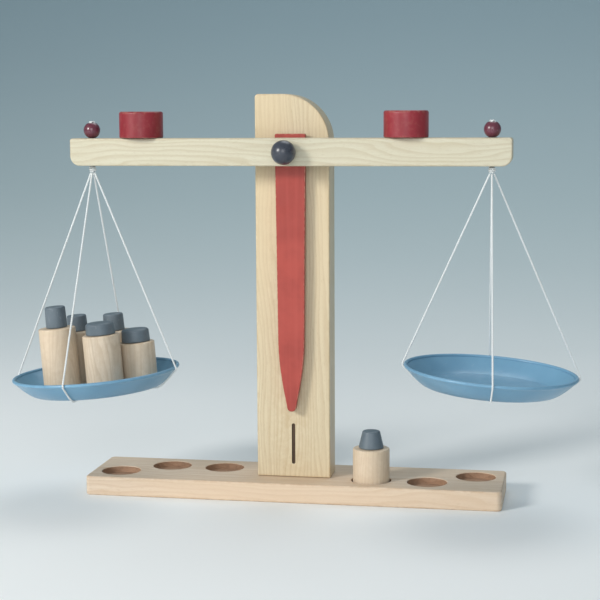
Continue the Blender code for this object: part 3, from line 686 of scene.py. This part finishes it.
def tubes(name, lines, mats, sides=8, caps=True):
    """A mesh of round tubes. Each line is (points, radius or one radius for each point, valley value for each side)."""
    verts, faces, run, turn_, valley = [], [], [], [], []
    for line in lines:
        p, radius = np.array(line[0], float), line[1]
        inner = line[2] if len(line) > 2 else None
        radius = np.full(len(p), radius) if np.isscalar(radius) else np.array(radius)
        t, n, b = frames_along(p)
        far = np.r_[0.0, np.cumsum(np.linalg.norm(np.diff(p, axis=0), axis=1))]
        base = len(verts)
        for i in range(len(p)):
            for k in range(sides):
                a = 2 * math.pi * k / sides
                out = n[i] * math.cos(a) + b[i] * math.sin(a)
                verts.append(tuple(p[i] + out * radius[i]))
                run.append(far[i])
                turn_.append(k / sides)
                valley.append(0.0 if inner is None else max(0.0, float(out @ inner[i])) ** 1.5)
        for i in range(len(p) - 1):
            for k in range(sides):
                m = (k + 1) % sides
                faces.append((base + i * sides + k, base + i * sides + m,
                              base + (i + 1) * sides + m, base + (i + 1) * sides + k))
        if caps:
            faces.append(tuple(base + k for k in range(sides))[::-1])
            faces.append(tuple(base + (len(p) - 1) * sides + k for k in range(sides)))
    mesh = bpy.data.meshes.new(name)
    mesh.from_pydata(verts, [], faces)
    # the valley values drive the painted shade between the plies in the cord's colour
    for label, values in (("run", run), ("round", turn_), ("valley", valley)):
        mesh.attributes.new(label, "FLOAT", "POINT").data.foreach_set("value", np.array(values, np.float32))
    for m in mats:
        mesh.materials.append(m)
    bm = bmesh.new()
    bm.from_mesh(mesh)
    bmesh.ops.recalc_face_normals(bm, faces=bm.faces)
    bm.to_mesh(mesh)
    bm.free()
    mesh.shade_smooth()
    mesh.set_sharp_from_angle(angle=math.radians(60))
    ob = bpy.data.objects.new(name, mesh)
    bpy.context.scene.collection.objects.link(ob)
    return ob


def plies(line, radius, pitch=0.0058, count=3, phase=0.0):
    """The plies of a twisted cord whose centre runs along a line of close points."""
    thin = radius / (1 + 1 / math.sin(math.pi / count)) * 1.06
    off = radius - thin
    t, n, b = frames_along(line)
    far = np.r_[0.0, np.cumsum(np.linalg.norm(np.diff(line, axis=0), axis=1))]
    out = []
    for j in range(count):
        a = 2 * math.pi * (far / pitch + j / count) + phase
        side = n * np.cos(a)[:, None] + b * np.sin(a)[:, None]
        out.append((line + side * off, thin, -side))
    return out


# ---------------------------------------------------------------- the cords of the dishes
LIP = (PAN_R - PAN_LIP, -PAN_LIP)


def dish_wall(steps):
    points = []
    for k in range(steps + 1):
        t = k / steps
        r = PAN_FLOOR_R + (PAN_R - 0.001 - PAN_FLOOR_R) * t
        z = -PAN_DEEP + (PAN_DEEP - 0.0026) * t ** 1.35
        slope = (PAN_DEEP - 0.0026) * 1.35 * t ** 0.35 / (PAN_R - 0.001 - PAN_FLOOR_R)
        size = math.hypot(slope, 1.0)
        points.append(((r, z), (slope / size, -1.0 / size)))
    return points


def cord_route(leaves, heading, under):
    """One cord in its dish's frame: from the knot down to the rim, round the rolled rim, down the outer
    wall, across the underside and up the far side. The cord below dips as it passes under the other."""
    off = CORD_R + GAP
    halves = []
    for turn_, start in ((0.0, leaves[0]), (math.pi, leaves[1])):
        u = Vector((math.cos(heading + turn_), math.sin(heading + turn_), 0.0))
        reach, high = start.dot(u), start.z
        d = math.dist((reach, high), LIP)
        aim = math.atan2(LIP[1] - high, LIP[0] - reach)
        touch = math.degrees(aim + math.acos(-(PAN_LIP + off) / d))
        half = [Vector(start)]
        for r, z in arc(LIP[0], LIP[1], PAN_LIP + off, touch, -38, 12):
            half.append(u * r + Vector((0, 0, z)))
        for (r, z), (nr, nz) in dish_wall(24)[17::-1]:
            half.append(u * (r + nr * off) + Vector((0, 0, z + nz * off)))
        low = -PAN_DEEP - off
        dip = (2 * CORD_R + GAP) if under else 0.0
        for r in (0.050, 0.040, 0.030, 0.020, 0.0165, 0.015, 0.0135, 0.012, 0.0105, 0.009, 0.0075, 0.006, 0.0045, 0.003):
            share = 0.5 + 0.5 * math.cos(math.pi * min(1.0, max(0.0, (r - 0.004) / 0.011)))
            half.append(u * r + Vector((0, 0, low - dip * share)))
        halves.append(half)
    middle = Vector((0, 0, -PAN_DEEP - off - ((2 * CORD_R + GAP) if under else 0.0)))
    return halves[0] + [middle] + halves[1][::-1]


CORDS = []
for side, sign, rim_z, tilt, shift, heading in zip(
        ("left", "right"), (-1, 1), PAN_RIM_Z, PAN_TILT, PAN_SHIFT, STRAND_AT):
    x = sign * HOLE_X
    hang = Vector((x, BEAM_MID, HANG_Z))
    centre = Vector((x + shift[0], BEAM_MID + shift[1], rim_z))
    lean = Matrix.Rotation(tilt, 3, "Y")
    for n, label in enumerate(("cord_a", "cord_b")):
        way = heading + n * math.pi / 2
        leaves = []
        for back in (0.0, math.pi):
            out = Vector((math.cos(way + back), math.sin(way + back), 0.0)) * 0.0019
            leaves.append(lean.transposed() @ (hang + Vector((0, 0, -0.0072)) + out - centre))
        route = [centre + lean @ q for q in cord_route(leaves, way, under=(n == 1))]
        line = softened(spaced(route, 0.0005), 0.0005, 0.0007)
        piece = tubes(f"{side}_{label}_twist", plies(line, CORD_R, phase=1.3 * n), [cord_white], sides=7)
        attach(piece, f"{side}_dish")
        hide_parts(f"{side}_{label}")
        long = float(np.linalg.norm(np.diff(line, axis=0), axis=1).sum())
        CORDS.append((piece.name, long))


# -------------------------------------------------------------------------- knots
def knots_of(side, x):
    """The knot on top of the bead, the strands in the hole, and the knot that gathers them below."""
    bead_at = BEAM_TOP + GAP + 0.0070
    seat = 0.0042 + GAP
    top = Vector((x, BEAM_MID, bead_at + seat + 0.0020))

    # a tight three-looped knot, its strands going down through the bead
    t = np.linspace(0, 2 * math.pi, 181)
    s = 0.00076
    loop = np.stack([s * (np.sin(t) + 2 * np.sin(2 * t)), s * (np.cos(t) - 2 * np.cos(2 * t)),
                     -0.00105 * np.sin(3 * t)], axis=1) + np.array(top)
    lines = [(q, r, v) for q, r, v in plies(loop, 0.00088, 0.0050)]
    for j in range(4):
        a = math.pi / 4 + j * math.pi / 2
        z = np.linspace(float(top.z) - 0.0008, HANG_Z + 0.0062, 60)
        turn_ = a + (z - z[0]) * 90.0
        q = np.stack([x + 0.00112 * np.cos(turn_), BEAM_MID + 0.00112 * np.sin(turn_), z], axis=1)
        lines += plies(q, 0.00090, 0.0050, phase=j)
    knot = tubes(f"{side}_end_knot_tied", lines, [cord_white], sides=7)
    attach(knot, "beam"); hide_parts(f"{side}_end_knot")

    lines = []
    for j in range(4):
        a = math.pi / 4 + j * math.pi / 2
        z = np.linspace(HANG_Z + 0.0050, HANG_Z + 0.0005, 24)
        turn_ = a + (z - z[0]) * 90.0
        q = np.stack([x + 0.00100 * np.cos(turn_), BEAM_MID + 0.00100 * np.sin(turn_), z], axis=1)
        lines += plies(q, 0.00088, 0.0050, phase=j)
    throat = tubes(f"{side}_throat_strands", lines, [cord_white], sides=7)
    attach(throat, f"{side}_throat"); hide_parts(f"{side}_throat_cord")

    # strands bound by two and a half turns of cord
    lines = []
    for j in range(4):
        a = math.pi / 4 + j * math.pi / 2
        z = np.linspace(HANG_Z - 0.0002, HANG_Z - 0.0064, 32)
        spread = 0.00100 + 0.0006 * np.clip((HANG_Z - 0.0044 - z) / 0.002, 0, 1)
        turn_ = a + (z - z[0]) * 90.0
        q = np.stack([x + spread * np.cos(turn_), BEAM_MID + spread * np.sin(turn_), z], axis=1)
        lines += plies(q, 0.00088, 0.0050, phase=j)
    u = np.linspace(0.0, 1.0, 120)
    a = 2 * math.pi * 2.5 * u + 0.6
    r = 0.00248 - 0.0007 * np.clip((0.06 - np.minimum(u, 1 - u)) / 0.06, 0, 1)
    z = HANG_Z - 0.00125 - 0.0040 * u
    wrap = np.stack([x + r * np.cos(a), BEAM_MID + r * np.sin(a), z], axis=1)
    lines += plies(wrap, 0.00086, 0.0050)
    gather = tubes(f"{side}_gather_knot_tied", lines, [cord_white], sides=7)
    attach(gather, f"{side}_gather"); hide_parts(f"{side}_gather_knot")


for side, sign in (("left", -1), ("right", 1)):
    knots_of(side, sign * HOLE_X)

# ------------------------------------------------------------------------ base board
base = board("base_board_wood",
             box_outline(-BASE_LENGTH / 2, BASE_LENGTH / 2, -BASE_DEPTH / 2, BASE_DEPTH / 2,
                         (BASE_CORNER,) * 4, (10, 10, 10, 10)),
             0.0, BASE_THICK, "Z", [base_wood, recess_shade_wood], BASE_EDGE, steps=5)
RECESSES = ([(-RECESS_X[2], -RECESS_ROW), (-RECESS_X[1], RECESS_ROW), (-RECESS_X[0], RECESS_ROW)]
            + [(RECESS_X[0], -RECESS_ROW), (RECESS_X[1], -RECESS_ROW), (RECESS_X[2], RECESS_ROW)])
stacks = []
for cx, cy in RECESSES:
    def circle(inset, cx=cx, cy=cy):
        return arc(cx, cy, RECESS_R - inset, 0, 360, 96)[:-1]
    stacks.append((flare(circle, BASE_THICK - RECESS_DEEP, BASE_THICK, 0.0007, bottom=0.0006),
                   lambda u, v, w: (u, v, w)))
mortise = box_outline(-TENON[0] / 2 - GAP, TENON[0] / 2 + GAP, -TENON[1] / 2 - GAP, TENON[1] / 2 + GAP,
                      (0.002,) * 4, (4, 4, 4, 4))
stacks.append(([(mortise(0.0), BASE_THICK - TENON[2] - GAP), (mortise(0.0), BASE_THICK + 0.004)],
               lambda u, v, w: (u, v, w)))
cut(base, cutter(stacks))


def in_recess(co, wider=0.0):
    return min(math.hypot(co.x - cx, co.y - cy) for cx, cy in RECESSES) < RECESS_R + wider


# The insides of the recesses and the faces round the mortise take the darker colour: painted shade.
paint_faces(base, 1, lambda c, n: c.z > 0.005 and c.z < BASE_THICK - 0.0008
            and (in_recess(c, 0.0001) or (abs(c.x) < 0.021 and abs(c.y) < 0.009)))
wear_near(base, lambda co: 0.9 if (in_recess(co, 0.0006) and BASE_THICK - 0.0008 < co.z < BASE_THICK - 0.00002) else 0.0)
finish_board(base)
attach(base, "stand"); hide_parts("base_board")

# -------------------------------------------------------------------------- upright
upright = board("upright_board",
                box_outline(-POST_WIDE / 2, POST_WIDE / 2, BASE_THICK + GAP, POST_TOP,
                            (0.0006, POST_SHOULDER, 0.0030, 0.0006), (2, 48, 6, 2)),
                -POST_THICK / 2, POST_THICK / 2, "Y", [upright_wood, mark_paint], 0.0012, steps=4)
tenon = box_outline(-TENON[0] / 2, TENON[0] / 2, -TENON[1] / 2, TENON[1] / 2, (0.002,) * 4, (4, 4, 4, 4))
cut(upright, cutter([([(tenon(0.0008), BASE_THICK - TENON[2]), (tenon(0.0), BASE_THICK - TENON[2] + 0.0008),
                       (tenon(0.0), BASE_THICK + 0.006)], lambda u, v, w: (u, v, w))]), "UNION")


def bore(inset):
    return arc(0.0, 0.0, AXLE_BORE - inset, 0, 360, 48)[:-1]


def index_line(inset):
    k = INDEX_WIDE / 2 - inset
    z0, z1 = INDEX_LOW + INDEX_WIDE / 2, INDEX_HIGH - INDEX_WIDE / 2
    return (arc(0.0, z1, k, 0, 180, 10) + arc(0.0, z0, k, 180, 360, 10))


cut(upright, cutter([
    ([(bore(0.0), POST_FRONT + 0.018), (bore(0.0), POST_FRONT - 0.004)], lambda u, v, w: (u, w, v + PIVOT_Z)),
    ([(index_line(0.0003), POST_FRONT + INDEX_DEEP), (index_line(0.0), POST_FRONT + INDEX_DEEP - 0.0003),
      (index_line(0.0), POST_FRONT + 0.00025), (index_line(-0.00025), POST_FRONT),
      (index_line(-0.00025), POST_FRONT - 0.004)], lambda u, v, w: (u, w, v)),
]))
paint_faces(upright, 1, lambda c, n: abs(c.x) < INDEX_WIDE / 2 + 0.0002 and INDEX_LOW - 0.0004 < c.z < INDEX_HIGH + 0.0004
            and POST_FRONT + 0.00008 < c.y < POST_FRONT + INDEX_DEEP + 0.0002)
finish_board(upright)
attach(upright, "stand"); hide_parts("upright")

# ----------------------------------------------------------------- spacer, ball, axle
corners = [(AXLE_BORE, 0.0, 0.0002), (SPACER_R, 0.0, 0.0005), (SPACER_R, SPACER_THICK, 0.0005),
           (AXLE_BORE, SPACER_THICK, 0.0002)]
outline, worn = eased(corners, closed=True)
spacer = swept("pivot_spacer_ring", outline, 72, [upright_wood], (0.0, SPACER_Y[1], PIVOT_Z), forward=True,
               closed=True, wear=worn)
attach(spacer, "stand"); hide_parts("pivot_spacer")

flat = 0.0066
drop = math.sqrt(BALL_R ** 2 - flat ** 2)
first = math.degrees(math.asin(-drop / BALL_R))
outline = [(0.0, 0.0108), (AXLE_BORE, 0.0108), (AXLE_BORE, 0.0)]
outline += arc(0.0, drop, BALL_R, first + 1.2, 90, 40)[:-1] + [(0.0, drop + BALL_R)]
ball = swept("pivot_ball", outline, 80, [ball_slate], (0.0, KNOB_BACK, PIVOT_Z), forward=True, sharp_deg=50)
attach(ball, "stand"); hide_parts("pivot_knob")

NODES["pivot_axle"].data.materials.clear()
NODES["pivot_axle"].data.materials.append(axle_steel)

# ----------------------------------------------------------------------------- beam
beam = board("beam_bar",
             box_outline(-BEAM_LENGTH / 2, BEAM_LENGTH / 2, -BEAM_HIGH / 2, BEAM_HIGH / 2,
                         (BEAM_LOWER_CORNER, 0.0022, 0.0022, BEAM_LOWER_CORNER), (16, 5, 5, 16)),
             -BEAM_DEEP / 2, BEAM_DEEP / 2, "Y", [beam_wood, slot_shade_wood], 0.0011, PIVOT, steps=4)
stacks = [([(bore(0.0), BEAM_MID + 0.02), (bore(0.0), BEAM_MID - 0.02)], lambda u, v, w: (u, w, v + PIVOT_Z))]
for sign in (-1, 1):
    def hole(inset, sign=sign):
        return arc(sign * HOLE_X, BEAM_MID, HOLE_R - inset, 0, 360, 40)[:-1]
    stacks.append((flare(hole, BEAM_LOW, BEAM_TOP, 0.0006, below=True), lambda u, v, w: (u, v, w)))
    slot = stadium_outline(sign * TRIM_SLOT_X, TRIM_TRAVEL, SLOT_HALF)
    stacks.append((flare(slot, BEAM_TOP - SLOT_DEEP, BEAM_TOP, 0.0005, bottom=0.0006),
                   lambda u, v, w: (u, v + BEAM_MID, w)))
cut(beam, cutter(stacks))


def in_slot(c):
    return (abs(c.y - BEAM_MID) < SLOT_HALF + 0.0004 and abs(abs(c.x) - TRIM_SLOT_X) < TRIM_TRAVEL + SLOT_HALF + 0.0004
            and BEAM_TOP - SLOT_DEEP - 0.0002 < c.z < BEAM_TOP - 0.0005)


def in_hole(c):
    return (math.hypot(abs(c.x) - HOLE_X, c.y - BEAM_MID) < HOLE_R + 0.0002
            and BEAM_LOW + 0.0006 < c.z < BEAM_TOP - 0.0006)


# The insides of the slots and holes take the darker colour: painted shade.
paint_faces(beam, 1, lambda c, n: in_slot(c) or in_hole(c))
finish_board(beam)
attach(beam, "beam"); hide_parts("beam")

# --------------------------------------------------------------------------- pointer
tip_z = POINTER_TIP + POINTER_TIP_R


def half_width(z):
    if z <= tip_z:
        return POINTER_TIP_R
    if z <= POINTER_NECK_Z:
        return POINTER_TIP_R + (POINTER_HALF_NECK - POINTER_TIP_R) * math.sin(
            math.pi / 2 * (z - tip_z) / (POINTER_NECK_Z - tip_z))
    return POINTER_HALF_NECK + (POINTER_HALF_TOP - POINTER_HALF_NECK) * (z - POINTER_NECK_Z) / (
        POINTER_TOP - POINTER_NECK_Z)


def pointer_outline(inset):
    """The outline drawn in: each point moves along its own inward normal."""
    sides = [(half_width(z), z) for z in
             [tip_z + (POINTER_NECK_Z - tip_z) * k / 24 for k in range(1, 25)]
             + [POINTER_NECK_Z + (POINTER_TOP - 0.0014 - POINTER_NECK_Z) * k / 12 for k in range(1, 13)]]
    top = arc(POINTER_HALF_TOP - 0.0014, POINTER_TOP - 0.0014, 0.0014, 0, 90, 6)[1:]
    right = sides + top
    points = right + [(-u, v) for u, v in reversed(right)] + arc(0.0, tip_z, POINTER_TIP_R, 191, 349, 20)
    n = len(points)
    moved = []
    for i, (u, v) in enumerate(points):
        a, b = points[i - 1], points[(i + 1) % n]
        t = Vector((b[0] - a[0], b[1] - a[1])).normalized()
        moved.append((u - t.y * inset, v + t.x * inset))
    return [(u, v - PIVOT_Z) for u, v in moved]


pointer = board("pointer_blade", pointer_outline, POINTER_Y[0] - BEAM_MID, POINTER_Y[1] - BEAM_MID, "Y",
                [pointer_red], 0.0007, PIVOT, steps=4, support=0.0005)
cut(pointer, cutter([([(bore(0.0), POINTER_Y[1] + 0.004), (bore(0.0), POINTER_Y[0] - 0.004)],
                      lambda u, v, w: (u, w, v + PIVOT_Z))]))
finish_board(pointer)
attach(pointer, "beam"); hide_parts("pointer")

# ---------------------------------------------------------------------- trim weights
for side, at in zip(("left", "right"), TRIM_AT):
    corners = [(0.0, 0.010, 0), (STUD_BORE, 0.010, 0.0002), (STUD_BORE, 0.0, 0.0002), (TRIM_R, 0.0, 0.0010),
               (TRIM_R, TRIM_HIGH, 0.0021), (0.006, TRIM_HIGH, 0.0), (0.0, TRIM_HIGH - 0.00015, 0)]
    outline, worn = eased(corners)
    trim = swept(f"{side}_trim_disc", outline, 112, [trim_red], (at, BEAM_MID, BEAM_TOP + GAP), wear=worn)
    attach(trim, f"{side}_trim"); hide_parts(f"{side}_trim")
    peg = NODES[f"{side}_trim_peg"]
    # the peg, down in its slot, takes the slot's darker colour: painted shade
    peg.data.materials.clear()
    peg.data.materials.append(slot_shade_wood)

# ----------------------------------------------------------------------- beads
for side, sign in (("left", -1), ("right", 1)):
    low = -0.0070
    up = math.degrees(math.asin(low / BEAD_R))
    outline = [(0.0026, 0.0042), (0.0026, low)]
    outline += arc(0.0, 0.0, BEAD_R, up, math.degrees(math.acos(0.0040 / BEAD_R)), 30)
    outline += [(0.0039, 0.0062), (0.0038, 0.0058), (0.0038, 0.0042)]
    bead = swept(f"{side}_bead_turned", outline, 72, [bead_maroon], (sign * HOLE_X, BEAM_MID, BEAM_TOP + GAP - low),
                 closed=True, wear=[0.0] * len(outline), sharp_deg=50)
    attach(bead, "beam"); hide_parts(f"{side}_bead")

# -------------------------------------------------------------------------- dishes
def dish_outline():
    outer, inner = [], []
    for (r, z), (nr, nz) in dish_wall(20):
        ri, zi = r - nr * PAN_WALL, z - nz * PAN_WALL
        if math.dist((r, z), LIP) > PAN_LIP * 1.12:
            outer.append((r, z))
        if math.dist((ri, zi), LIP) > PAN_LIP * 1.12:
            inner.append((ri, zi))
    rim = arc(LIP[0], LIP[1], PAN_LIP, -62, 212, 20)
    out = [(0.0, -PAN_DEEP), (0.030, -PAN_DEEP)] + outer + rim + inner[::-1]
    out += [(0.030, -PAN_DEEP + PAN_WALL), (0.0, -PAN_DEEP + PAN_WALL)]
    worn = [0.0] * (2 + len(outer)) + [0.5 + 0.5 * math.sin(math.pi * k / 20) for k in range(21)] + [0.0] * (
        len(inner) + 2)
    return out, worn


DISHES = {}
for side, sign, rim_z, tilt, shift in zip(("left", "right"), (-1, 1), PAN_RIM_Z, PAN_TILT, PAN_SHIFT):
    centre = Vector((sign * HOLE_X + shift[0], BEAM_MID + shift[1], rim_z))
    outline, worn = dish_outline()
    dish = swept(f"{side}_pan_shell", outline, 144, [pan_blue], centre, tilt, wear=worn, sharp_deg=50)
    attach(dish, f"{side}_dish"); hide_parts(f"{side}_pan")
    DISHES[side] = (centre, tilt)


# -------------------------------------------------------------------------- weights
def weight(name, foot, tilt, height, knob, body):
    corners = [(0.0, 0.0, 0), (WEIGHT_R, 0.0, 0.0012), (WEIGHT_R, height, 0.0013), (STUD_BORE, height, 0.0003),
               (STUD_BORE, height - STUD_LONG - GAP, 0.0), (0.0, height - STUD_LONG - GAP, 0)]
    outline, worn = eased(corners)
    wooden = swept(f"{name}_turned", outline, 96, [weight_wood], foot, tilt, wear=worn)
    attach(wooden, body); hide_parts(name)

    kind, r, top_r, tall = knob
    z0 = height + GAP
    top = 0.0028 if kind == "disc" else 0.0018
    corners = [(0.0, height - STUD_LONG, 0), (STUD_R, height - STUD_LONG, 0.0004), (STUD_R, z0, 0.0),
               (r, z0, 0.0008), (top_r, z0 + tall, top), (0.0, z0 + tall, 0)]
    outline, worn = eased(corners)
    grip = swept(f"{name}_grip", outline, 72, [knob_blue], foot, tilt, wear=worn)
    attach(grip, body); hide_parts(f"{name}_knob")


centre, tilt = DISHES["left"]
lean = Matrix.Rotation(tilt, 3, "Y")
for name, (px, py), height, knob in PAN_WEIGHTS:
    weight(name, centre + lean @ Vector((px, py, -PAN_DEEP + PAN_WALL + GAP)), tilt, height, knob, name)
weight(BASE_WEIGHT[0], Vector((RECESS_X[0], -RECESS_ROW, BASE_THICK - RECESS_DEEP + GAP)), 0.0,
       BASE_WEIGHT[1], BASE_WEIGHT[2], BASE_WEIGHT[0])


# ------------------------------------------------------------------- floor and light
def floor_finish():
    s = Finish("floor_finish")
    cloud = s.noise(s.where, 1.4, 2.0, 0.5)
    fine = s.noise(s.where, 240.0, 2.0, 0.5)
    depth = s.split(s.where)[1]
    col = s.mix(s.span(cloud, 0.35, 0.65), (0.895, 0.918, 0.916), (0.920, 0.938, 0.935))
    # painted shade: darker blue-grey towards the back and up the sweep
    col = s.mix(s.span(depth, 0.2, 1.9), col, (0.490, 0.590, 0.612))
    col = s.mix(s.span(depth, 1.5, 2.9), col, (0.335, 0.452, 0.505))
    s.fixed(Specular_IOR_Level=0.2)
    return s.done(col, s.span(fine, 0.3, 0.7, 0.75, 0.9, False), s.relief(fine, 0.04, 0.0002))


bm = bmesh.new()
sweep = [(-14.0, 0.0), (-6.0, 0.0), (-2.0, 0.0), (0.0, 0.0), (0.7, 0.0)]
sweep += [(0.7 + 3.2 * math.sin(a), 3.2 * (1 - math.cos(a))) for a in [math.pi / 2 * k / 28 for k in range(1, 29)]]
sweep += [(3.9, 4.5), (3.9, 6.0)]
rows = [[bm.verts.new((x, y, z)) for x in (-15.0, -7.0, -3.0, 0.0, 3.0, 7.0, 15.0)] for y, z in sweep]
for a, b in zip(rows, rows[1:]):
    for k in range(len(a) - 1):
        bm.faces.new((a[k], a[k + 1], b[k + 1], b[k]))
floor = new_object("floor", bm, [floor_finish()], weighted=False)


def lamp(name, at, aim, size, power, colour):
    data = bpy.data.lights.new(name, "AREA")
    data.shape, data.size, data.energy, data.color = "DISK", size, power, colour
    ob = bpy.data.objects.new(name, data)
    bpy.context.scene.collection.objects.link(ob)
    ob.location = at
    ob.rotation_euler = (Vector(aim) - Vector(at)).to_track_quat("-Z", "Y").to_euler()
    return ob


lamp("key", (-1.62, -1.82, 1.22), (0.0, 0.0, 0.20), 0.70, 43.5, (1.0, 0.98, 0.95))
lamp("fill", (0.3, -2.6, 1.0), (0.0, 0.0, 0.20), 1.60, 19.0, (0.97, 0.98, 1.0))
lamp("top", (0.2, 1.1, 2.2), (0.0, 0.4, 0.0), 1.60, 14.0, (0.93, 0.97, 1.0))
world = bpy.data.worlds.new("studio")
world.use_nodes = True
world.node_tree.nodes["Background"].inputs["Color"].default_value = (0.78, 0.88, 0.93, 1.0)
world.node_tree.nodes["Background"].inputs["Strength"].default_value = 0.36
bpy.context.scene.world = world
bpy.context.scene.view_settings.view_transform = "Standard"
bpy.context.scene.view_settings.look = "None"
